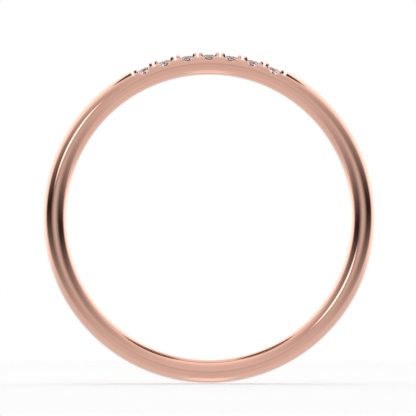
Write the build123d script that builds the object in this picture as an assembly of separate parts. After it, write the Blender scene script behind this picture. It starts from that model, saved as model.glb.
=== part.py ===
from build123d import *
import math
import os

# ---------------------------------------------------------------------------
# A diamond-set wedding band. All sizes are in millimetres, angles in degrees.
# The finger hole runs along Y, its centre is the origin, and the row of stones
# is centred on +Z.
# ---------------------------------------------------------------------------

# The ring itself
finger_circumference = 53.0  # ring size ISO 8653 no. 53
wall = 1.45                  # radial thickness of the shank
band_width = 1.6             # front face to back face
land_width = 0.12            # straight strip in the middle of the comfort-fit bore
arc_join_angle = 45.0        # where the side arc of the section meets its crown arc

# The stones: round brilliants
stone_count = 7
stone_diameter = 1.10
stone_gap = 0.22             # between the girdles of neighbouring stones
table_ratio = 0.56           # table width over stone diameter
crown_angle = 34.5
girdle_ratio = 0.03          # girdle thickness over stone diameter
pavilion_angle = 40.75
star_ratio = 0.50            # length of the star facets across the crown
lower_half_ratio = 0.77      # length of the lower-half facets down the pavilion
table_drop = 0.232           # table below the crown line of the shank
facet_symmetry = 8           # main facets round each stone
facet_turn = 22.5            # the first main facet's angle from the row, about the stone's own axis

# The setting cut into the head of the band
stone_clearance = 0.01       # all round the stone in its seat
claw_width = 0.238           # claw seen from the front, at the middle of the scallop's floor arc
claw_grip = 0.10             # how far a claw may reach in over the girdle
claw_tip_drop = 0.055        # claw tips below the crown line of the shank
slot_width = 0.14            # saw cut between neighbouring claws
slot_floor_rise = 0.018      # saw-cut floor above the top of the girdle
scallop_depth = 0.545        # scallop floor below the crown line of the shank
scallop_lean = 24.0          # how far the scallop's straight sides lean outwards
dish_radius = 2.3            # ball that dishes the front and the back of each cell
dish_bite = 0.06             # how deep the ball goes in at the middle of the cell
channel_width = 0.50         # trough between the front and the back claws
light_hole_diameter = 0.50   # hole under each stone, open to the finger
cutter_overrun = 1.0         # how far a cutter runs past the metal

# ---------------------------------------------------------------------------
# Sizes that follow from the ones above
# ---------------------------------------------------------------------------
bore_radius = finger_circumference / (2.0 * math.pi)
outer_radius = bore_radius + wall

stone_radius = stone_diameter / 2.0
table_radius = stone_radius * table_ratio
crown_height = (stone_radius - table_radius) * math.tan(math.radians(crown_angle))
girdle_thickness = stone_diameter * girdle_ratio
pavilion_depth = stone_radius * math.tan(math.radians(pavilion_angle))

table_level = outer_radius - table_drop
girdle_top = table_level - crown_height
girdle_bottom = girdle_top - girdle_thickness
culet_level = girdle_bottom - pavilion_depth

facet_step = 360.0 / facet_symmetry
squeeze = math.cos(math.radians(facet_step / 2.0))
table_edge = table_radius * squeeze
star_radius = table_edge + star_ratio * (stone_radius - table_edge)
star_height = (stone_radius - star_radius * squeeze) * math.tan(math.radians(crown_angle))
steepest_crown_slope = star_height / (stone_radius - star_radius)

girdle_middle = (girdle_top + girdle_bottom) / 2.0
half_spacing = (stone_diameter + stone_gap) / 2.0
pitch_angle = 2.0 * math.degrees(math.asin(half_spacing / girdle_middle))
head_angle = pitch_angle * stone_count

cell_half_width = girdle_top * math.tan(math.radians(pitch_angle / 2.0))
scallop_width = 2.0 * (cell_half_width - slot_width / 2.0 - claw_width)
scallop_floor = outer_radius - scallop_depth
slot_floor = girdle_top + slot_floor_rise
claw_tip_radius = outer_radius - claw_tip_drop


# ---------------------------------------------------------------------------
# Band section
# ---------------------------------------------------------------------------
def oval_quarter(half_width, half_height):
    """Radii of the crown arc and the side arc of one quarter of an oval."""
    sine = math.sin(math.radians(arc_join_angle))
    cosine = math.cos(math.radians(arc_join_angle))
    side_share = (1.0 - cosine) / sine
    crown = (half_width - half_height * side_share) / (cosine - side_share * (1.0 - sine))
    side = (half_height - crown * (1.0 - sine)) / sine
    return crown, side


def oval_arcs(flat_half, half_width, half_height, middle, outward):
    """Crown arc and side arc from the flat of one face to the band's edge."""
    crown, side = oval_quarter(half_width, half_height)
    sine = math.sin(math.radians(arc_join_angle))
    cosine = math.cos(math.radians(arc_join_angle))
    half_sine = math.sin(math.radians(90.0 - (90.0 - arc_join_angle) / 2.0))
    half_cosine = math.cos(math.radians(90.0 - (90.0 - arc_join_angle) / 2.0))
    low_sine = math.sin(math.radians(arc_join_angle / 2.0))
    low_cosine = math.cos(math.radians(arc_join_angle / 2.0))
    crown_centre = half_height - crown
    side_centre = half_width - side
    start = (middle + outward * half_height, flat_half)
    crown_mid = (middle + outward * (crown_centre + crown * half_sine), flat_half + crown * half_cosine)
    join = (middle + outward * (crown_centre + crown * sine), flat_half + crown * cosine)
    side_mid = (middle + outward * side * low_sine, flat_half + side_centre + side * low_cosine)
    end = (middle, flat_half + half_width)
    return ThreePointArc(start, crown_mid, join), ThreePointArc(join, side_mid, end)


def band_section():
    """Closed section of the shank: radius along local X, width along local Y."""
    half_height = wall / 2.0
    middle = bore_radius + half_height
    inner_half_width = (band_width - land_width) / 2.0
    outer_crown, outer_side = oval_arcs(0.0, band_width / 2.0, half_height, middle, 1.0)
    inner_crown, inner_side = oval_arcs(land_width / 2.0, inner_half_width, half_height, middle, -1.0)
    land = Line((bore_radius, 0.0), (bore_radius, land_width / 2.0))
    front_half = [land, inner_crown, inner_side, outer_side, outer_crown]
    back_half = [edge.mirror(Plane.XZ) for edge in front_half]
    return make_face(Wire(front_half + back_half))


# ---------------------------------------------------------------------------
# Round brilliant, standing on its own axis (local Z measured from ring centre)
# ---------------------------------------------------------------------------
def on_circle(radius, azimuth, level):
    """Point at a radius, azimuth and level round the stone's axis."""
    turn = math.radians(azimuth)
    return Vector(radius * math.cos(turn), radius * math.sin(turn), level)


def facet_plane(first, second, third):
    """Plane through three points of a facet, facing away from the stone."""
    normal = (second - first).cross(third - first).normalized()
    heart = Vector(0, 0, girdle_middle)
    if normal.dot(first - heart) < 0:
        normal = normal * -1.0
    return Plane(origin=first, z_dir=normal)


def facets():
    """Planes of every facet, crown first, then pavilion."""
    step = facet_step
    half_step = step / 2.0
    pavilion_slope = math.tan(math.radians(pavilion_angle))
    star_level = girdle_top + star_height
    lower_radius = stone_radius * (1.0 - lower_half_ratio)
    lower_level = girdle_bottom - (stone_radius - lower_radius * squeeze) * pavilion_slope
    culet = Vector(0, 0, culet_level)
    planes = [Plane(origin=(0, 0, table_level), z_dir=(0, 0, 1))]
    for index in range(facet_symmetry):
        main = facet_turn + index * step
        corner = on_circle(table_radius, main, table_level)
        next_corner = on_circle(table_radius, main + step, table_level)
        star_tip = on_circle(star_radius, main + half_step, star_level)
        star_tip_before = on_circle(star_radius, main - half_step, star_level)
        lower_tip = on_circle(lower_radius, main + half_step, lower_level)
        lower_tip_before = on_circle(lower_radius, main - half_step, lower_level)
        planes.append(facet_plane(corner, star_tip, star_tip_before))
        planes.append(facet_plane(corner, next_corner, star_tip))
        planes.append(facet_plane(culet, lower_tip, lower_tip_before))
        for edge in (main, main + step):
            upper_edge = on_circle(stone_radius, edge, girdle_top)
            upper_middle = on_circle(stone_radius, main + half_step, girdle_top)
            lower_edge = on_circle(stone_radius, edge, girdle_bottom)
            lower_middle = on_circle(stone_radius, main + half_step, girdle_bottom)
            planes.append(facet_plane(star_tip, upper_edge, upper_middle))
            planes.append(facet_plane(lower_tip, lower_edge, lower_middle))
    return planes


def brilliant():
    """One round brilliant cut from a cylinder by its facet planes."""
    height = table_level - culet_level
    stone = Pos(0, 0, culet_level + height / 2.0) * Cylinder(stone_radius, height)
    for plane in facets():
        stone = split(stone, bisect_by=plane, keep=Keep.BOTTOM)
    return stone


# ---------------------------------------------------------------------------
# Cutters for the head
# ---------------------------------------------------------------------------
def stone_seat():
    """Room for one stone: light hole, bearing, girdle groove, claw opening."""
    hole_radius = light_hole_diameter / 2.0
    groove_radius = stone_radius + stone_clearance
    mouth_radius = stone_radius - claw_grip
    pavilion_slope = math.tan(math.radians(pavilion_angle))
    bearing_top = girdle_bottom - stone_clearance
    bearing_foot = bearing_top - (groove_radius - hole_radius) * pavilion_slope
    groove_top = girdle_top + stone_clearance
    mouth_level = groove_top + (groove_radius - mouth_radius) * steepest_crown_slope
    top = outer_radius + cutter_overrun
    bottom = bore_radius - cutter_overrun
    outline = Polyline(
        (0, bottom),
        (hole_radius, bottom),
        (hole_radius, bearing_foot),
        (groove_radius, bearing_top),
        (groove_radius, groove_top),
        (mouth_radius, mouth_level),
        (mouth_radius, top),
        (0, top),
        close=True,
    )
    return revolve(Plane.XZ * make_face(outline), Axis.Z, 360.0)


def through_cut(width, floor, lean):
    """Cut running front to back: round floor at a given radius, straight sides that lean outwards."""
    radius = width / 2.0
    centre = floor + radius
    top = outer_radius + cutter_overrun
    tangent_half = radius * math.cos(math.radians(lean))
    tangent_level = centre - radius * math.sin(math.radians(lean))
    top_half = tangent_half + (top - tangent_level) * math.tan(math.radians(lean))
    left_foot = (-tangent_half, tangent_level)
    right_foot = (tangent_half, tangent_level)
    outline = [
        ThreePointArc(left_foot, (0, floor), right_foot),
        Line(right_foot, (top_half, top)),
        Line((top_half, top), (-top_half, top)),
        Line((-top_half, top), left_foot),
    ]
    return extrude(Plane.XZ * make_face(Wire(outline)), amount=band_width / 2.0 + cutter_overrun, both=True)


def cell_dishes():
    """Two balls that dish the front and the back of one cell where the section's arcs join."""
    crown, side = oval_quarter(band_width / 2.0, wall / 2.0)
    sine = math.sin(math.radians(arc_join_angle))
    cosine = math.cos(math.radians(arc_join_angle))
    reach = crown + dish_radius - dish_bite
    offset = reach * cosine
    level = outer_radius - crown + reach * sine
    return [Pos(0, side_sign * offset, level) * Sphere(dish_radius) for side_sign in (-1.0, 1.0)]


def head_ring(inner, width):
    """Ring segment over the whole head, from a radius outwards."""
    outer = outer_radius + cutter_overrun
    outline = Pos((inner + outer) / 2.0, 0) * Rectangle(outer - inner, width)
    segment = revolve(outline, Axis.Y, head_angle)
    return Rot(0, -90.0 - head_angle / 2.0, 0) * segment


def stone_angle(index):
    """Angle of a stone from the top of the ring, left to right."""
    return (index - (stone_count - 1) / 2.0) * pitch_angle


# ---------------------------------------------------------------------------
# Build and write the nodes
# ---------------------------------------------------------------------------
os.makedirs("parts", exist_ok=True)

band = revolve(band_section(), Axis.Y, 360.0)
band -= head_ring(claw_tip_radius, band_width + 2.0 * cutter_overrun)
band -= head_ring(girdle_top, channel_width)
seat = stone_seat()
scallop = through_cut(scallop_width, scallop_floor, scallop_lean)
slot = through_cut(slot_width, slot_floor, 0.0)
dishes = cell_dishes()
for index in range(stone_count):
    turn = Rot(0, stone_angle(index), 0)
    band -= turn * seat
    band -= turn * scallop
    for dish in dishes:
        band -= turn * dish
for index in range(stone_count + 1):
    band -= Rot(0, stone_angle(index) - pitch_angle / 2.0, 0) * slot
export_step(band, "parts/band.step")

stone = brilliant()
for index in range(stone_count):
    placed = Rot(0, stone_angle(index), 0) * stone
    export_step(placed, f"parts/diamond_{index + 1}.step")
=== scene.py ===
# %% [markdown]
# # A diamond-set wedding band
# A slim rose gold ring with seven small round brilliants let into its top. The
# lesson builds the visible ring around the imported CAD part: one cast band with
# its claws, seven cut stones, two finishes and a plain white studio.

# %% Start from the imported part
import math
import bmesh
import bpy
import numpy as np
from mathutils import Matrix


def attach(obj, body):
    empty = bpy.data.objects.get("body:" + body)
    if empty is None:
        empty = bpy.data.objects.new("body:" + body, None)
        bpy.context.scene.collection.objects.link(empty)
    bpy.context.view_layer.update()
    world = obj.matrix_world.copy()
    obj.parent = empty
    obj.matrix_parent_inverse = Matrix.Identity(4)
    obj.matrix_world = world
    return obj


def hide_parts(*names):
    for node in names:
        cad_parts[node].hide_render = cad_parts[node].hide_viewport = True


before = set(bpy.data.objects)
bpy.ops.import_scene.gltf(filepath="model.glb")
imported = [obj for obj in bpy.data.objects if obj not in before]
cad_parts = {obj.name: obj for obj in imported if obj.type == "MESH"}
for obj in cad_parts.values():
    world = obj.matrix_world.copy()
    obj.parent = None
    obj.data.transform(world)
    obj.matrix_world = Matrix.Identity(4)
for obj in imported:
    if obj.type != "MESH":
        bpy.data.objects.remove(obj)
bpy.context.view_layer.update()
print("CAD nodes:", sorted(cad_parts))

# %% [markdown]
# ## Sizes
# Everything is thought of in millimetres and written to the scene in metres.
# The finger hole runs along Y, the ring's centre is the origin, and the middle
# stone stands on +Z. The crown line is the outside of the shank, and heights in
# the head are counted down from it. The main facets of a stone are 45 degrees
# apart, and the first one is half a turn of that away from the row.

# %% Ring, stone and cut sizes
MM = 0.001
finger_circumference = 53.0
hole_radius = finger_circumference / (2 * math.pi)
wall, width, land = 1.45, 1.6, 0.12
crown_line = hole_radius + wall
middle_line = hole_radius + wall / 2

stones = 7
stone_radius, stone_gap, girdle_thickness = 0.55, 0.22, 0.033
table_share, lower_half_share, table_drop = 0.56, 0.77, 0.232
facet_half_turn = 22.5
table_radius = table_share * stone_radius
crown_slope = math.tan(math.radians(34.5))
pavilion_slope = math.tan(math.radians(40.75))
table_level = crown_line - table_drop
girdle_top = table_level - (stone_radius - table_radius) * crown_slope
girdle_foot = girdle_top - girdle_thickness
culet_level = girdle_foot - stone_radius * pavilion_slope
squeeze = math.cos(math.radians(facet_half_turn))
star_radius = (table_radius * squeeze + stone_radius) / 2
star_level = girdle_top + (stone_radius - star_radius * squeeze) * crown_slope
seat_slope = (star_level - girdle_top) / (stone_radius - star_radius)
pitch = 2 * math.asin((stone_radius + stone_gap / 2) / (girdle_top - girdle_thickness / 2))
head_half = pitch * stones / 2
print("crown line", round(crown_line, 3), "pitch in degrees", round(math.degrees(pitch), 3))

# %% [markdown]
# ## The band as a field of distances
# The band is a lost-wax casting that has been sawn, drilled and polished, so
# no edge on it is sharp. A distance field suits that: it says how far any point
# is from the metal, a cut is one field taken from another, and the polish is a
# radius given to each cut. The section is an oval of four tangent arcs, with a
# short straight strip in the bore so that it slides over a finger.

# %% The section of the hoop
def oval_radii(half_width, half_height, turn=math.radians(45)):
    s, c = math.sin(turn), math.cos(turn)
    share = (1 - c) / s
    crown = (half_width - half_height * share) / (c - share * (1 - s))
    return crown, (half_height - crown * (1 - s)) / s


def oval_quarter(u, v, half_width, half_height):
    """Signed distance to a quarter of the oval, u across and v up from its middle."""
    crown, side = oval_radii(half_width, half_height)
    from_side = np.hypot(u - (half_width - side), v) - side
    from_crown = np.hypot(u, v - (half_height - crown)) - crown
    return np.where(u - (half_width - side) > v, from_side, from_crown)


def section(r, y):
    v = r - middle_line
    outside = oval_quarter(np.abs(y), v, width / 2, wall / 2)
    inside = oval_quarter(np.maximum(np.abs(y) - land / 2, 0), -v, (width - land) / 2, wall / 2)
    return np.where(v > 0, outside, inside)


print("section at the crown, bore and side:",
      [round(float(section(*np.array(p))), 5) for p in
       ((crown_line, 0.0), (hole_radius, 0.0), (middle_line, width / 2))])

# %% [markdown]
# ## Cuts in the head
# Every stone has the same cuts: a seat turned to its shape, a round-bottomed
# scallop filed from front to back, and a fine saw cut on either side that
# splits the metal into paired claws. A trough between the front and back claws
# leaves the girdles open to light, and a large ball dishes the front and back
# of each cell a little. Folding the angle round the ring makes one set of cuts
# serve all seven stones. Each cut has its own polish: fine at the seat, broad
# at the tips, and broader at the foot of a scallop than along its sides.

# %% The whole band as one field
claw_tips = crown_line - 0.055
scallop_radius, scallop_floor, scallop_lean = 0.355, crown_line - 0.545, math.radians(24)
slot_half, slot_floor = 0.07, girdle_top + 0.018
trough_half = 0.25
light_hole, seat_room, claw_grip = 0.25, 0.01, 0.10
dish_radius, dish_tilt, dish_bite = 2.3, math.radians(45), 0.06
tip_polish, trough_polish, seat_polish = 0.05, 0.02, 0.008
dish_polish, saw_polish = 0.012, 0.03
scallop_polish, foot_extra_polish, foot_from, foot_run = 0.02, 0.06, 0.30, 0.16


def cut(body, tool, polish):
    """Takes a tool from a body and gives the new edge a polished radius."""
    a = np.maximum(body + polish, 0)
    b = np.maximum(polish - tool, 0)
    return np.minimum(-polish, np.maximum(body, -tool)) + np.hypot(a, b)


def round_bottomed(x, z, radius, floor, lean=0.0):
    """A cut with a round floor and straight sides that lean outwards."""
    high = z - (floor + radius)
    past_floor = np.abs(x) * math.sin(lean) + high * math.cos(lean) > 0
    side = np.abs(x) * math.cos(lean) - high * math.sin(lean)
    return np.where(past_floor, side, np.hypot(x, high)) - radius


def seat(x, y, z):
    rho = np.hypot(x, y)
    beside = rho - stone_radius - seat_room
    above = (z - girdle_top - seat_room + beside * seat_slope) / math.hypot(1, seat_slope)
    below = (girdle_foot - seat_room - z + beside * pavilion_slope) / math.hypot(1, pavilion_slope)
    stone = np.maximum(beside, np.maximum(above, below))
    mouth = np.maximum(rho - stone_radius + claw_grip, girdle_foot - z)
    hole = np.maximum(rho - light_hole, z - girdle_top)
    return np.minimum(stone, np.minimum(mouth, hole))


def dish_centre():
    """Middle of the ball that dishes the front of a cell: (distance across, height)."""
    crown, _ = oval_radii(width / 2, wall / 2)
    skin_y = crown * math.cos(dish_tilt)
    skin_z = middle_line + wall / 2 - crown + crown * math.sin(dish_tilt)
    out = dish_radius - dish_bite
    return skin_y + out * math.cos(dish_tilt), skin_z + out * math.sin(dish_tilt)


def dish(x, y, z):
    across, height = dish_centre()
    return np.sqrt(x ** 2 + (np.abs(y) - across) ** 2 + (z - height) ** 2) - dish_radius


def field(x, y, z):
    """Signed distance to the whole band, in mm: below 0 inside the metal."""
    r, turn = np.hypot(x, z), np.arctan2(x, z)
    place, last = turn / pitch, stones // 2
    own = (place - np.clip(np.round(place), -last, last)) * pitch
    saw = (place - 0.5 - np.clip(np.round(place - 0.5), -last - 1, last)) * pitch
    sx, sz = r * np.sin(own), r * np.cos(own)
    past_head = (np.abs(turn) - head_half) * r
    trough = np.maximum(np.abs(y) - trough_half, girdle_top - r)
    low = np.clip((crown_line - sz - foot_from) / foot_run, 0, 1)
    scallop = round_bottomed(sx, sz, scallop_radius, scallop_floor, scallop_lean)
    slot = round_bottomed(r * np.sin(saw), r * np.cos(saw), slot_half, slot_floor)
    metal = section(r, y)
    metal = cut(metal, np.maximum(claw_tips - r, past_head), tip_polish)
    metal = cut(metal, np.maximum(trough, past_head), trough_polish)
    metal = cut(metal, seat(sx, y, sz), seat_polish)
    metal = cut(metal, dish(sx, y, sz), dish_polish)
    metal = cut(metal, scallop, scallop_polish + foot_extra_polish * low * low * (3 - 2 * low))
    return cut(metal, slot, saw_polish)


def slope(points, step=1e-4):
    """Outward direction of the field at each point."""
    out = np.empty_like(points)
    for axis in range(3):
        shift = np.zeros(3)
        shift[axis] = step
        out[:, axis] = field(*(points + shift).T) - field(*(points - shift).T)
    return out / np.maximum(np.linalg.norm(out, axis=1, keepdims=True), 1e-12)


print("floor of the middle scallop at", round(scallop_floor, 3),
      "field there:", round(float(field(*np.array((0.0, width / 2 - 0.3, scallop_floor)))), 4))

# %% [markdown]
# ## A skin over the field
# A grid that bends with the ring is laid through the head. Each grid box that
# the surface passes through gets one point, and each grid line that pierces the
# surface gets one four-sided face. It is a sound way to skin a field, because
# the faces always close up.

# %% Skin the head
def skin(values):
    """Points, in grid steps, and four-sided faces of the zero surface."""
    size = values.shape
    inside = values < 0
    total = sum(inside[i:size[0] - 1 + i, j:size[1] - 1 + j, k:size[2] - 1 + k].astype(np.int8)
                for i in (0, 1) for j in (0, 1) for k in (0, 1))
    boxes = np.argwhere((total > 0) & (total < 8))
    number = np.full(total.shape, -1)
    number[tuple(boxes.T)] = np.arange(len(boxes))
    points, hits = np.zeros((len(boxes), 3)), np.zeros(len(boxes))
    for axis in range(3):
        for first in (0, 1):
            for second in (0, 1):
                start = np.insert(np.array([first, second]), axis, 0)
                end = np.insert(np.array([first, second]), axis, 1)
                a, b = values[tuple((boxes + start).T)], values[tuple((boxes + end).T)]
                crossed = (a < 0) != (b < 0)
                share = np.where(crossed, a / np.where(crossed, a - b, 1), 0)
                points += crossed[:, None] * (start + share[:, None] * (end - start))
                hits += crossed
    points = boxes + points / hits[:, None]
    faces = []
    for axis in range(3):
        ahead, low = [slice(None)] * 3, [slice(None)] * 3
        ahead[axis], low[axis] = slice(1, None), slice(None, -1)
        edges = np.argwhere(inside[tuple(ahead)] != inside[tuple(low)])
        b, c = (axis + 1) % 3, (axis + 2) % 3
        kept = (edges[:, b] > 0) & (edges[:, c] > 0)
        edges = edges[kept & (edges[:, b] < size[b] - 1) & (edges[:, c] < size[c] - 1)]
        ring = []
        for db, dc in ((-1, -1), (0, -1), (0, 0), (-1, 0)):
            box = edges.copy()
            box[:, b] += db
            box[:, c] += dc
            ring.append(number[tuple(box.T)])
        quads = np.stack(ring, axis=1)
        leaving = inside[tuple(edges.T)]
        faces.append(np.where(leaving[:, None], quads, quads[:, ::-1]))
    return points, np.concatenate(faces)


grid_step = 0.022
past_end, past_face, past_bore, past_crown = math.radians(2.5), 0.05, 0.05, 0.06
reach = head_half + past_end
half_grid = width / 2 + past_face
turns = np.linspace(-reach, reach, 2 * int(reach * crown_line / grid_step) + 1)
across = np.linspace(-half_grid, half_grid, int(2 * half_grid / grid_step) | 1)
levels = np.arange(hole_radius - past_bore, crown_line + past_crown, grid_step)
grid_turn, grid_y, grid_r = np.meshgrid(turns, across, levels, indexing="ij")
values = field(grid_r * np.sin(grid_turn), grid_y, grid_r * np.cos(grid_turn))
steps, head_faces = skin(values)
point_turn = np.interp(steps[:, 0], np.arange(len(turns)), turns)
point_y = np.interp(steps[:, 1], np.arange(len(across)), across)
point_r = np.interp(steps[:, 2], np.arange(len(levels)), levels)
head_points = np.stack([point_r * np.sin(point_turn), point_y, point_r * np.cos(point_turn)], axis=1)
print("grid", values.shape, "head skin:", len(head_points), "points,", len(head_faces), "faces")

# %% [markdown]
# ## Thin the head's skin
# The skin has as many faces on plain metal as on the claws. Collapsing edges
# where the surface is nearly flat keeps the claws and saves the rest.

# %% Make meshes and thin one
def to_mesh(name, points, faces):
    mesh = bpy.data.meshes.new(name)
    mesh.from_pydata([tuple(p) for p in points], [], [tuple(int(i) for i in f) for f in faces])
    mesh.update()
    return mesh


def to_object(name, mesh):
    thing = bpy.data.objects.new(name, mesh)
    bpy.context.collection.objects.link(thing)
    return thing


def evaluated(thing, name):
    """Plain mesh of an object as its modifiers leave it."""
    graph = bpy.context.evaluated_depsgraph_get()
    mesh = bpy.data.meshes.new_from_object(thing.evaluated_get(graph))
    mesh.name = name
    thing.modifiers.clear()
    return mesh


def arrays(mesh):
    points = np.empty(len(mesh.vertices) * 3)
    mesh.vertices.foreach_get("co", points)
    return points.reshape(-1, 3), [tuple(p.vertices) for p in mesh.polygons]


head_target = 140000
rough = to_object("head_skin", to_mesh("head_skin", head_points, head_faces))
thin = rough.modifiers.new("thin", "DECIMATE")
thin.ratio = min(1.0, head_target / (2 * len(head_faces)))
thin.use_collapse_triangulate = True
head_mesh = evaluated(rough, "head_thin")
head_points, head_faces = arrays(head_mesh)
bpy.data.objects.remove(rough)
print("thinned head:", len(head_points), "points,", len(head_faces), "faces")

# %% [markdown]
# ## The plain part of the hoop
# The rest of the hoop is one section carried along an arc, so it is made with
# geometry nodes: an arc, a section, and a sweep of one along the other.

# %% Node helpers and the swept hoop
def wire(tree, kind, sockets=None, **settings):
    """Adds a node, sets its settings, and fills or links its inputs."""
    node = tree.nodes.new(kind)
    for key, value in settings.items():
        setattr(node, key, value)
    for key, value in (sockets or {}).items():
        if isinstance(value, bpy.types.NodeSocket):
            tree.links.new(value, node.inputs[key])
        else:
            node.inputs[key].default_value = value
    return node


def new_tree(name, inputs):
    """Geometry node tree with named inputs and one geometry output."""
    tree = bpy.data.node_groups.new(name, "GeometryNodeTree")
    tree.interface.new_socket("Geometry", in_out="INPUT", socket_type="NodeSocketGeometry")
    for label, (kind, value) in inputs.items():
        socket = tree.interface.new_socket(label, in_out="INPUT", socket_type=kind)
        if value is not None:
            socket.default_value = value
    tree.interface.new_socket("Geometry", in_out="OUTPUT", socket_type="NodeSocketGeometry")
    return tree, tree.nodes.new("NodeGroupInput"), tree.nodes.new("NodeGroupOutput")


def set_inputs(modifier, values):
    """Sets named inputs of a nodes modifier by their identifiers."""
    for item in modifier.node_group.interface.items_tree:
        if item.item_type == "SOCKET" and item.in_out == "INPUT" and item.name in values:
            modifier[item.identifier] = values[item.name]


def end_tree(tree, geometry, given, made):
    """Makes the geometry real, gives it its finish and sends it out."""
    real = wire(tree, "GeometryNodeRealizeInstances", {0: geometry})
    finish = wire(tree, "GeometryNodeSetMaterial", {
        "Geometry": real.outputs[0], "Material": given.outputs["Finish"]})
    tree.links.new(finish.outputs[0], made.inputs[0])


hoop_tree, given, made = new_tree("Hoop sweep", {
    "Arc radius": ("NodeSocketFloat", 0.01),
    "Gap half angle": ("NodeSocketFloat", 0.5),
    "Steps": ("NodeSocketInt", 300),
    "Finish": ("NodeSocketMaterial", None),
})
arc = wire(hoop_tree, "GeometryNodeCurveArc", {
    "Resolution": given.outputs["Steps"], "Radius": given.outputs["Arc radius"]})
gap = given.outputs["Gap half angle"]
start = wire(hoop_tree, "ShaderNodeMath", {0: gap, 1: math.pi / 2}, operation="ADD")
both_gaps = wire(hoop_tree, "ShaderNodeMath", {0: gap, 1: -2.0}, operation="MULTIPLY")
span = wire(hoop_tree, "ShaderNodeMath", {0: both_gaps.outputs[0], 1: 2 * math.pi}, operation="ADD")
hoop_tree.links.new(start.outputs[0], arc.inputs["Start Angle"])
hoop_tree.links.new(span.outputs[0], arc.inputs["Sweep Angle"])
upright = wire(hoop_tree, "GeometryNodeSetCurveNormal", {0: arc.outputs[0]}, mode="Z_UP")
outline = wire(hoop_tree, "GeometryNodeMeshToCurve", {0: given.outputs["Geometry"]})
sweep = wire(hoop_tree, "GeometryNodeCurveToMesh", {0: upright.outputs[0], 1: outline.outputs[0]})
stand = wire(hoop_tree, "GeometryNodeTransform", {
    "Geometry": sweep.outputs[0], "Rotation": (math.pi / 2, 0.0, 0.0)})
end_tree(hoop_tree, stand.outputs[0], given, made)

section_points, hoop_steps, rim_gap = 64, 240, math.radians(0.4)
around = np.arange(section_points) * 2 * math.pi / section_points
loop = np.stack([wall / 2 * np.cos(around), width / 2 * np.sin(around), 0 * around], axis=1)
loop_edges = [(i, (i + 1) % section_points) for i in range(section_points)]
loop_mesh = bpy.data.meshes.new("section")
loop_mesh.from_pydata([tuple(p) for p in loop], loop_edges, [])
hoop = to_object("hoop", loop_mesh)
sweeper = hoop.modifiers.new("sweep", "NODES")
sweeper.node_group = hoop_tree
gap_half = float(np.max(np.arctan2(head_points[:, 0], head_points[:, 2]))) + rim_gap
set_inputs(sweeper, {"Arc radius": middle_line, "Gap half angle": gap_half, "Steps": hoop_steps})
hoop_mesh = evaluated(hoop, "hoop_swept")
hoop_points, hoop_faces = arrays(hoop_mesh)
bpy.data.objects.remove(hoop)
print("hoop:", len(hoop_points), "points,", len(hoop_faces), "faces, reaching",
      [round(float(v), 3) for v in hoop_points.max(axis=0)])

# %% [markdown]
# ## Join hoop and head
# The two skins end a hair's breadth apart. A strip of triangles zips each pair
# of open rims together, then every point is pushed onto the field's surface and
# takes its shading direction from the field, so the join can't be seen.

# %% Zip the rims
def section_angle(points):
    r = np.hypot(points[:, 0], points[:, 2])
    return np.arctan2(points[:, 1] / width, (r - middle_line) / wall) % (2 * math.pi)


def open_rims(points, faces):
    """Rim points of an open skin, right rim then left, in order round the section."""
    edges = {}
    for face in faces:
        for a, b in zip(face, face[1:] + face[:1]):
            key = (min(a, b), max(a, b))
            edges[key] = edges.get(key, 0) + 1
    rim = np.array(sorted({v for edge, n in edges.items() if n == 1 for v in edge}))
    rim = rim[np.argsort(section_angle(points[rim]))]
    right = points[rim][:, 0] > 0
    return rim[right], rim[~right]


def zip_rims(points, first, second, outward_sign):
    a_angle, b_angle = section_angle(points[first]), section_angle(points[second])
    strip, i, j = [], 0, 0
    while i < len(first) or j < len(second):
        next_a = a_angle[(i + 1) % len(first)] + 2 * math.pi * ((i + 1) // len(first))
        next_b = b_angle[(j + 1) % len(second)] + 2 * math.pi * ((j + 1) // len(second))
        a, b = first[i % len(first)], second[j % len(second)]
        if j >= len(second) or (i < len(first) and next_a < next_b):
            face = (a, first[(i + 1) % len(first)], b)
            i += 1
        else:
            face = (a, second[(j + 1) % len(second)], b)
            j += 1
        strip.append(face if outward_sign > 0 else face[::-1])
    return strip


points = np.concatenate([head_points, hoop_points])
shifted = [tuple(i + len(head_points) for i in f) for f in hoop_faces]
head_right, head_left = open_rims(points, head_faces)
hoop_right, hoop_left = open_rims(points, shifted)
print("rims:", len(head_right), len(head_left), len(hoop_right), len(hoop_left))
faces = list(head_faces) + shifted
faces += zip_rims(points, head_right, hoop_right, 1)
faces += zip_rims(points, head_left, hoop_left, -1)

pushes, longest_push = 3, 0.03
for _ in range(pushes):
    off = field(*points.T)
    points = points - np.clip(off, -longest_push, longest_push)[:, None] * slope(points)
print("furthest point off the surface, in mm:", round(float(np.abs(field(*points.T)).max()), 5))

band = to_object("band_metal", to_mesh("band_metal", points * MM, faces))
sculpt = bmesh.new()
sculpt.from_mesh(band.data)
bmesh.ops.dissolve_degenerate(sculpt, dist=1e-9, edges=sculpt.edges)
bmesh.ops.recalc_face_normals(sculpt, faces=sculpt.faces)
if sculpt.calc_volume(signed=True) < 0:
    bmesh.ops.reverse_faces(sculpt, faces=sculpt.faces)
open_edges = sum(1 for e in sculpt.edges if not e.is_manifold)
print("open or doubled edges:", open_edges, "volume in mm3:", round(sculpt.calc_volume() * 1e9, 3))
sculpt.to_mesh(band.data)
sculpt.free()
band.data.polygons.foreach_set("use_smooth", np.ones(len(band.data.polygons), dtype=bool))
finished, _ = arrays(band.data)
band.data.normals_split_custom_set_from_vertices([tuple(n) for n in slope(finished / MM)])
print("band triangles:", sum(len(p.vertices) - 2 for p in band.data.polygons))

# %% [markdown]
# ## The stones
# A round brilliant has a flat table, eight kites, eight stars and sixteen upper
# halves on its crown, and eight mains with sixteen lower halves below its
# girdle. A lap grinds each one flat in turn. A flat facet meets the round girdle
# in a dip between its corners, and the dip is worked out from its own plane.

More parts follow.
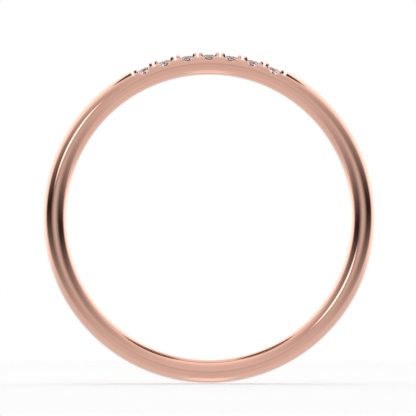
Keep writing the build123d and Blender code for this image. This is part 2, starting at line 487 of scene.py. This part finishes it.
# %% Cut one brilliant
def on_circle(radius, degrees, level):
    a = math.radians(degrees)
    return np.array([radius * math.cos(a), radius * math.sin(a), level])


def on_plane(a, b, c, spot):
    """The spot moved along Z onto the plane of three points."""
    n = np.cross(b - a, c - a)
    return np.array([spot[0], spot[1], a[2] - (n[0] * (spot[0] - a[0]) + n[1] * (spot[1] - a[1])) / n[2]])


def brilliant(rim_steps=4):
    step = 2 * facet_half_turn
    low_radius = stone_radius * (1 - lower_half_share)
    low_level = girdle_foot - (stone_radius - low_radius * squeeze) * pavilion_slope
    culet = np.array([0.0, 0.0, culet_level])
    points, faces = [], []

    def facet(*corners):
        faces.append([])
        for corner in corners:
            for index, known in enumerate(points):
                if np.abs(known - corner).max() < 1e-6:
                    break
            else:
                index = len(points)
                points.append(corner)
            faces[-1].append(index)

    mains = [facet_half_turn + step * k for k in range(8)]
    facet(*[on_circle(table_radius, main, table_level) for main in mains])
    for main in mains:
        half = main + facet_half_turn
        corner, next_corner = [on_circle(table_radius, main + step * e, table_level) for e in (0, 1)]
        star, star_before = [on_circle(star_radius, half - step * e, star_level) for e in (0, 1)]
        low, low_before = [on_circle(low_radius, half - step * e, low_level) for e in (0, 1)]
        top, foot = [on_circle(stone_radius, main, level) for level in (girdle_top, girdle_foot)]
        facet(corner, star, next_corner)
        facet(corner, star_before, top, star)
        facet(culet, low, foot, low_before)
        for start in (main, half):
            spots = [start + facet_half_turn * e / rim_steps for e in range(rim_steps + 1)]
            rim = [on_circle(stone_radius, spot, 0) for spot in spots]
            ends = [on_circle(stone_radius, spot, girdle_top) for spot in (spots[0], spots[-1])]
            feet = [on_circle(stone_radius, spot, girdle_foot) for spot in (spots[0], spots[-1])]
            upper = [on_plane(star, ends[0], ends[1], spot) for spot in rim]
            lower = [on_plane(low, feet[0], feet[1], spot) for spot in rim]
            facet(star, *upper)
            facet(low, *lower[::-1])
            for a in range(rim_steps):
                facet(lower[a], lower[a + 1], upper[a + 1], upper[a])
    return np.array(points), faces


stone_points, stone_faces = brilliant()
print("one stone:", len(stone_points), "points,", len(stone_faces), "facets with its girdle")

# %% [markdown]
# ## Seven stones in a row
# The stones are alike and stand at even steps round the ring. A small node tree
# turns a stone about the ring's centre to its place, which is its only input
# that changes from stone to stone.

# %% Set the stones
row_tree, given, made = new_tree("Stone in the row", {
    "Place": ("NodeSocketInt", 0),
    "Pitch": ("NodeSocketFloat", 0.1),
    "Finish": ("NodeSocketMaterial", None),
})
angle = wire(row_tree, "ShaderNodeMath", {
    0: given.outputs["Place"], 1: given.outputs["Pitch"]}, operation="MULTIPLY")
turned = wire(row_tree, "ShaderNodeCombineXYZ", {"Y": angle.outputs[0]})
placed = wire(row_tree, "GeometryNodeTransform", {
    "Geometry": given.outputs["Geometry"], "Rotation": turned.outputs[0]})
end_tree(row_tree, placed.outputs[0], given, made)
print("nodes that set a stone:", len(row_tree.nodes))

# %% [markdown]
# ## Finishes
# Both finishes share one group of fine handling marks: faint lines and a little
# unevenness in the gloss, as a polished ring has after a short time in use.

# %% Shared marks
marks = bpy.data.node_groups.new("Fine handling marks", "ShaderNodeTree")
marks.interface.new_socket("Vector", in_out="INPUT", socket_type="NodeSocketVector")
marks.interface.new_socket("Scale", in_out="INPUT", socket_type="NodeSocketFloat")
marks.interface.new_socket("Lines", in_out="OUTPUT", socket_type="NodeSocketFloat")
marks.interface.new_socket("Haze", in_out="OUTPUT", socket_type="NodeSocketFloat")
given = marks.nodes.new("NodeGroupInput")
made = marks.nodes.new("NodeGroupOutput")
lines = wire(marks, "ShaderNodeTexNoise", {
    "Vector": given.outputs["Vector"], "Scale": given.outputs["Scale"], "Detail": 4.0, "Roughness": 0.6})
broad = wire(marks, "ShaderNodeMath", {0: given.outputs["Scale"], 1: 0.08}, operation="MULTIPLY")
haze = wire(marks, "ShaderNodeTexNoise", {
    "Vector": given.outputs["Vector"], "Scale": broad.outputs[0], "Detail": 3.0})
marks.links.new(lines.outputs["Fac"], made.inputs["Lines"])
marks.links.new(haze.outputs["Fac"], made.inputs["Haze"])


def new_material(name):
    material = bpy.data.materials.new(name)
    material.use_nodes = True
    tree = material.node_tree
    return material, tree, tree.nodes["Principled BSDF"]


def add_marks(tree, vector, scale):
    """Lines and haze of the shared marks, at a scale given in marks per metre."""
    worn = tree.nodes.new("ShaderNodeGroup")
    worn.node_tree = marks
    tree.links.new(vector, worn.inputs["Vector"])
    worn.inputs["Scale"].default_value = scale
    return worn.outputs["Lines"], worn.outputs["Haze"]


def blend(tree, factor, first, second):
    """A colour between two; sockets 6 and 7 of the mix node are its two colours."""
    mix = wire(tree, "ShaderNodeMix", {
        "Factor": factor, 6: (*first, 1.0), 7: (*second, 1.0)}, data_type="RGBA")
    return mix.outputs[2]


def spread(tree, value, low, high):
    return wire(tree, "ShaderNodeMapRange", {"Value": value, "To Min": low, "To Max": high}).outputs[0]


print("sockets of the marks:", [item.name for item in marks.interface.items_tree])

# %% [markdown]
# ## Rose gold
# Gold alloyed with copper reflects red well and blue poorly. The polishing
# wheel runs round the hoop, so the marks are stretched along it: the group is
# given the distance from the ring's axis and the distance across the band at
# full size, and the way round the hoop at a small fraction. A cast and polished
# ring has no grain of its own, so the tone hardly moves.

# %% Rose gold
gold, tree, shader = new_material("rose_gold")
place = wire(tree, "ShaderNodeTexCoord")
xyz = wire(tree, "ShaderNodeSeparateXYZ", {0: place.outputs["Object"]})
flat = wire(tree, "ShaderNodeCombineXYZ", {"X": xyz.outputs["X"], "Y": xyz.outputs["Z"]})
radius = wire(tree, "ShaderNodeVectorMath", {0: flat.outputs[0]}, operation="LENGTH")
turn = wire(tree, "ShaderNodeMath", {0: xyz.outputs["X"], 1: xyz.outputs["Z"]}, operation="ARCTAN2")
metres_per_radian = 0.0006
short = wire(tree, "ShaderNodeMath", {0: turn.outputs[0], 1: metres_per_radian}, operation="MULTIPLY")
along = wire(tree, "ShaderNodeCombineXYZ", {
    "X": short.outputs[0], "Y": radius.outputs["Value"], "Z": xyz.outputs["Y"]})
scratch, mist = add_marks(tree, along.outputs[0], 9000.0)
colour = blend(tree, mist, (0.965, 0.555, 0.437), (0.985, 0.575, 0.457))
relief = wire(tree, "ShaderNodeBump", {"Height": scratch, "Strength": 0.015, "Distance": 0.00001})
tree.links.new(colour, shader.inputs["Base Color"])
tree.links.new(spread(tree, scratch, 0.04, 0.08), shader.inputs["Roughness"])
tree.links.new(relief.outputs[0], shader.inputs["Normal"])
shader.inputs["Metallic"].default_value = 1.0
print("rose gold nodes:", len(tree.nodes))

# %% [markdown]
# ## Diamond
# Diamond bends light more than any other clear stone, and that is what makes
# the facets flash. The polish is near perfect, with only a trace of haze. The
# tint is a trace of warmth, such as stones of a middling colour have.

# %% Diamond
diamond, tree, shader = new_material("diamond")
place = wire(tree, "ShaderNodeTexCoord")
scratch, mist = add_marks(tree, place.outputs["Object"], 3000.0)
tint = blend(tree, mist, (1.0, 0.950, 0.925), (1.0, 0.965, 0.945))
tree.links.new(tint, shader.inputs["Base Color"])
tree.links.new(spread(tree, scratch, 0.0, 0.01), shader.inputs["Roughness"])
shader.inputs["IOR"].default_value = 2.417
shader.inputs["Transmission Weight"].default_value = 1.0
print("diamond nodes:", len(tree.nodes))

# %% [markdown]
# ## Dress the pieces
# The band takes the place of its CAD node, and each stone the place of its own.
# Nothing on the ring moves, so all eight pieces ride on the one fixed body.

# %% Dress the pieces
band.data.materials.clear()
band.data.materials.append(gold)
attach(band, "root")
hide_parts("band")
for index in range(stones):
    stone = to_object(f"stone_{index + 1}", to_mesh(f"stone_{index + 1}", stone_points * MM, stone_faces))
    setter = stone.modifiers.new("set", "NODES")
    setter.node_group = row_tree
    set_inputs(setter, {"Place": index - stones // 2, "Pitch": pitch, "Finish": diamond})
    stone.data = evaluated(stone, f"stone_{index + 1}_cut")
    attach(stone, "root")
    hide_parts(f"diamond_{index + 1}")
print("stones set:", stones)

# %% [markdown]
# ## The studio
# Polished metal shows only what stands round it, so the studio is built as the
# ring sees it: how bright the room is in each direction. A direction is named by
# its tilt, in degrees away from the way to the camera, and by its clock, in
# degrees round from straight up. A camera ray always meets plain white.

# %% Directions in the room
world = bpy.data.worlds.new("studio")
bpy.context.scene.world = world
world.use_nodes = True
tree = world.node_tree
tree.nodes.clear()


def calc(operation, *values):
    return wire(tree, "ShaderNodeMath", dict(enumerate(values)), operation=operation).outputs[0]


def plus(a, b):
    return calc("ADD", a, b)


def minus(a, b):
    return calc("SUBTRACT", a, b)


def times(a, b):
    return calc("MULTIPLY", a, b)


def over(a, b):
    return calc("DIVIDE", a, b)


def rise(value, low, high):
    """0 below low, 1 above high, smooth between."""
    return wire(tree, "ShaderNodeMapRange", {"Value": value, "From Min": low, "From Max": high},
                interpolation_type="SMOOTHSTEP").outputs[0]


def within(value, low, low_full, high_full, high):
    return times(rise(value, low, low_full), minus(1.0, rise(value, high_full, high)))


def oval(across, down):
    """1 on the edge of an oval, less inside it, from distances counted in its half sizes."""
    return plus(times(across, across), times(down, down))


def darken(light, mask, share):
    return times(light, minus(1.0, times(mask, share)))


degree = 180 / math.pi
direction = wire(tree, "ShaderNodeSeparateXYZ", {0: wire(tree, "ShaderNodeTexCoord").outputs["Generated"]})
tilt = times(calc("ARCCOSINE", times(direction.outputs["Y"], -1.0)), degree)
clock = times(calc("ARCTAN2", direction.outputs["X"], direction.outputs["Z"]), degree)
from_top = calc("ABSOLUTE", clock)
upper = minus(1.0, rise(from_top, 92.0, 120.0))
rays = wire(tree, "ShaderNodeLightPath")
print("nodes for directions:", len(tree.nodes))

# %% [markdown]
# ## Grey in front, white behind
# The camera's side of the room is an even soft grey, and so the face of the hoop
# is calm. It lightens a little upwards, and again towards the sides. Past the
# ring the room is white, and brightest above.

# %% Front and back of the room
front_level, front_upward = 0.635, 0.07
side_lift, upper_side_lift, under_lift = 0.10, 0.22, 0.08
back_level, upper_back, far_extra, upper_far_cut = 0.78, 0.57, 0.32, 0.18

up = calc("COSINE", times(clock, math.pi / 180))
front = plus(front_level, times(times(up, front_upward), rise(tilt, 0.0, 7.0)))
lift = times(rise(tilt, 42.0, 84.0), plus(side_lift, times(upper, upper_side_lift)))
under = times(times(rise(tilt, 8.0, 22.0), rise(from_top, 118.0, 150.0)), under_lift)
room = plus(plus(front, lift), under)
back = plus(back_level, times(upper, upper_back))
far = plus(back, times(rise(tilt, 120.0, 145.0), minus(far_extra, times(upper, upper_far_cut))))
behind = rise(tilt, 92.0, 114.0)
light = plus(times(room, minus(1.0, behind)), times(far, behind))
print("nodes with the room:", len(tree.nodes))

# %% [markdown]
# ## Dark cards
# A black card stands to the left and one to the right. Without them the ring
# would be pale all round: they draw the dark lines down both sides of the hoop,
# one in its outer half and one in its inner half. Each card is darkest near the
# ring's middle height and thins out above and below it.

# %% Dark cards
card_clock, card_round, card_sharpness, card_dark = 86.0, 6.0, 1.5, 0.965
card_length, upper_card_extra = 50.0, 17.0
near_slant, lower_far_slant = 0.25, 0.45

beside = calc("ABSOLUTE", minus(from_top, card_clock))
off_card = minus(calc("SQRT", plus(times(beside, beside), card_round ** 2)), card_round)
card_reach = plus(card_length, times(upper, upper_card_extra))
card_fall = calc("POWER", calc("MAXIMUM", minus(1.0, over(off_card, card_reach)), 0.0), card_sharpness)
card_near = rise(plus(tilt, times(beside, near_slant)), 0.0, 45.0)
far_slant = plus(near_slant, times(minus(1.0, upper), lower_far_slant))
card_far = rise(plus(tilt, times(beside, far_slant)), 80.0, 101.0)
light = darken(light, times(times(card_near, minus(1.0, card_far)), card_fall), card_dark)
print("nodes with the cards:", len(tree.nodes))

# %% [markdown]
# ## Slips over the head
# Two narrow black slips hang just past the ring, left and right of straight up,
# with a light grey strip between them. They make the small dark bars in the
# claws and the dark lines where the shank starts, which is what lets the eye
# tell one claw from the next.

# %% Slips over the head
strip = times(within(tilt, 78.0, 92.0, 118.0, 140.0), minus(1.0, rise(from_top, 14.0, 30.0)))
light = darken(light, strip, 0.3)

slip_clock, slip_half_width, slip_tilt, slip_half_depth = 23.5, 12.5, 93.5, 16.0
slip_lean, slip_shift, slip_glow = 3.2, 3.0, 0.06
slip_across = over(minus(from_top, slip_clock), slip_half_width)
slip_skew = plus(times(slip_across, slip_lean), times(calc("SIGN", clock), slip_shift))
slip_down = over(plus(minus(tilt, slip_tilt), slip_skew), slip_half_depth)
off_slip = rise(oval(slip_across, slip_down), 0.6, 1.3)
light = times(light, plus(slip_glow, times(off_slip, 1.0 - slip_glow)))
print("nodes with the slips:", len(tree.nodes))

# %% [markdown]
# ## A doorway for the stones
# A clear stone in a white room is white on white. Light that comes out through a
# stone meets a low dark doorway behind the ring, so its lower facets go dark and
# the cut can be seen. The metal doesn't see the doorway.

# %% A doorway for the stones
door_half_width, door_middle, door_half_height, door_dark = 0.66, 0.06, 0.15, 0.94
door_across = over(direction.outputs["X"], door_half_width)
door_up = over(minus(direction.outputs["Z"], door_middle), door_half_height)
door = times(rise(tilt, 125.0, 140.0), minus(1.0, rise(oval(door_across, door_up), 0.8, 1.3)))
light = darken(light, times(door, rays.outputs["Is Transmission Ray"]), door_dark)
print("nodes with the doorway:", len(tree.nodes))

# %% [markdown]
# ## A streak, a gleam and a cool back light
# A small bright window high on the left draws the short white streak down the
# hoop, and a faint glow from under the ring lights its foot. The light mirrored
# from behind is slightly cool, so the thin rims of the hoop look silvery.

# %% A streak, a gleam and a cool back light
streak_clock, streak_half_width, streak_tilt, streak_half_depth = -61.0, 19.0, 31.5, 9.5
streak_light, gleam_light, upper_cool_cut = 1.75, 0.35, 0.3
gleam = times(within(tilt, 76.0, 84.0, 104.0, 112.0), rise(from_top, 168.0, 177.0))
light = plus(light, times(gleam, gleam_light))
streak_across = over(minus(clock, streak_clock), streak_half_width)
streak_down = over(minus(tilt, streak_tilt), streak_half_depth)
streak = minus(1.0, rise(oval(streak_across, streak_down), 0.1, 1.2))
light = plus(light, times(streak, streak_light))

mirrored = calc("MAXIMUM", minus(rays.outputs["Is Glossy Ray"], rays.outputs["Is Transmission Ray"]), 0.0)
cool = darken(times(within(tilt, 100.0, 122.0, 140.0, 162.0), mirrored), upper, upper_cool_cut)
hue = blend(tree, cool, (1.0, 1.0, 1.0), (0.79, 1.04, 1.15))
seen = rays.outputs["Is Camera Ray"]
strength = plus(times(light, minus(1.0, seen)), seen)
background = wire(tree, "ShaderNodeBackground", {"Color": hue, "Strength": strength})
wire(tree, "ShaderNodeOutputWorld", {"Surface": background.outputs[0]})
print("nodes in the whole room:", len(tree.nodes))

# %% [markdown]
# ## Floor, lamp and camera
# The floor is a plain white sheet just under the ring, lit by one wide soft lamp
# overhead, and it keeps the ring's faint shadow. The metal doesn't show floor or
# lamp, because the room already says what it mirrors. The camera is far off with
# a long lens, level with the ring and looking straight through the finger hole.

# %% Floor, lamp and camera
floor_half, floor_gap = 90.0, 0.01
corners = [(floor_half * x, floor_half * y, -(crown_line + floor_gap)) for x, y in
           ((-1, -1), (1, -1), (1, 1), (-1, 1))]
floor_mesh = to_mesh("floor", np.array(corners) * MM, [(0, 1, 2, 3)])
floor = to_object("floor", floor_mesh)
paper, tree, shader = new_material("paper")
place = wire(tree, "ShaderNodeTexCoord")
fibre = wire(tree, "ShaderNodeTexNoise", {
    "Vector": place.outputs["Object"], "Scale": 400.0, "Detail": 4.0})
sheet = blend(tree, fibre.outputs["Fac"], (0.90, 0.90, 0.90), (0.94, 0.94, 0.94))
tree.links.new(sheet, shader.inputs["Base Color"])
shader.inputs["Roughness"].default_value = 0.9
shader.inputs["Specular IOR Level"].default_value = 0.0
own_white = 0.09
floor_rays = wire(tree, "ShaderNodeLightPath")
share = wire(tree, "ShaderNodeMath", {
    0: floor_rays.outputs["Is Camera Ray"], 1: own_white}, operation="MULTIPLY")
glow = wire(tree, "ShaderNodeEmission", {"Color": (1.0, 1.0, 1.0, 1.0), "Strength": share.outputs[0]})
both = wire(tree, "ShaderNodeAddShader", {0: shader.outputs[0], 1: glow.outputs[0]})
tree.links.new(both.outputs[0], tree.nodes["Material Output"].inputs["Surface"])
floor_mesh.materials.append(paper)
floor.visible_glossy = False
floor.visible_transmission = False

lamp_data = bpy.data.lights.new("soft_lamp", "AREA")
lamp_data.shape = "SQUARE"
lamp_data.size = 0.25
lamp_data.energy = 0.10
lamp = bpy.data.objects.new("soft_lamp", lamp_data)
lamp.location = (0.0, 0.0, 0.25)
lamp.visible_glossy = False
lamp.visible_transmission = False
bpy.context.collection.objects.link(lamp)

camera_data = bpy.data.cameras.new("camera")
distance, picture_width, sensor_width = 600.0, 24.71, 36.0
camera_right, camera_height = -0.056, 0.541
camera_data.sensor_width = sensor_width
camera_data.lens = sensor_width * distance / picture_width
camera_data.clip_start, camera_data.clip_end = 0.05, 3.0
camera = bpy.data.objects.new("camera", camera_data)
camera.location = (camera_right * MM, -distance * MM, camera_height * MM)
camera.rotation_euler = (math.pi / 2, 0.0, 0.0)
bpy.context.collection.objects.link(camera)
bpy.context.scene.camera = camera
bpy.context.scene.view_settings.view_transform = "Standard"
print("lens in mm:", round(camera_data.lens, 1))
